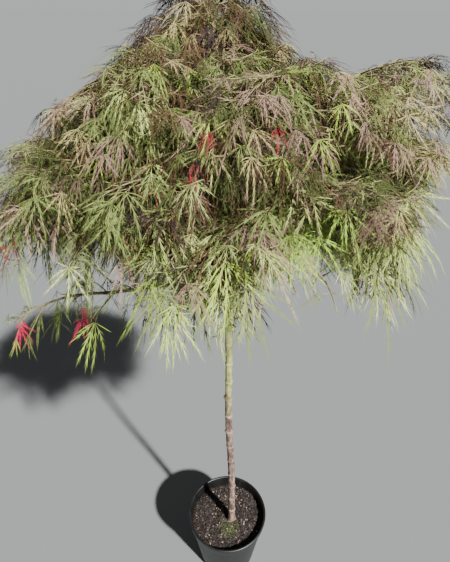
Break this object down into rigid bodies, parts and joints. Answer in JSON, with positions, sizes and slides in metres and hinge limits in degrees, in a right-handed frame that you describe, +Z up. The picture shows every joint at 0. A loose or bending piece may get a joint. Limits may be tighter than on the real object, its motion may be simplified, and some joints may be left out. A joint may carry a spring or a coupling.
{
  "type": "potted japanese maple",
  "caption": "Weeping laceleaf maple grown as a small standard tree: a slim clear trunk under a wide mounded crown of finely cut leaves, in a round black nursery pot.",
  "frame": {"origin": "centre of the pot's flat underside, on the surface that it stands on", "axes": "+Z up along the trunk, -Y towards the front as in the picture, +X to the right as seen from the front"},
  "size_m": [0.9441, 0.7949, 1.6392],
  "materials": {
    "pot": "semi-matt black injection-moulded plastic",
    "potting_mix": "loose bark-based potting mix with a patch of moss",
    "bark": "thin grey-brown bark with pale rings at the old bud joints",
    "young_bark": "smooth olive-green young bark",
    "foliage": "finely cut leaves in light green, olive, bronze and some bright red"
  },
  "bodies": {
    "root": {"pot": "pot", "soil": "potting_mix", "trunk": "bark", "bough_upper_1": "young_bark", "bough_upper_2": "young_bark", "bough_upper_3": "young_bark", "bough_upper_4": "young_bark", "bough_upper_5": "young_bark", "bough_middle_1": "young_bark", "bough_middle_2": "young_bark", "bough_middle_3": "young_bark", "bough_middle_4": "young_bark", "bough_middle_5": "young_bark", "bough_middle_6": "young_bark", "bough_middle_7": "young_bark", "bough_skirt_1": "young_bark", "bough_skirt_2": "young_bark", "bough_skirt_3": "young_bark", "bough_skirt_4": "young_bark", "bough_skirt_5": "young_bark", "bough_shoot": "young_bark", "mass_crest": "foliage", "mass_upper_1": "foliage", "mass_upper_2": "foliage", "mass_upper_3": "foliage", "mass_upper_4": "foliage", "mass_upper_5": "foliage", "mass_middle_1": "foliage", "mass_middle_2": "foliage", "mass_middle_3": "foliage", "mass_middle_4": "foliage", "mass_middle_5": "foliage", "mass_middle_6": "foliage", "mass_middle_7": "foliage", "mass_skirt_1": "foliage", "mass_skirt_2": "foliage", "mass_skirt_3": "foliage", "mass_skirt_4": "foliage", "mass_skirt_5": "foliage", "mass_shoot": "foliage"}
  },
  "joints": []
}
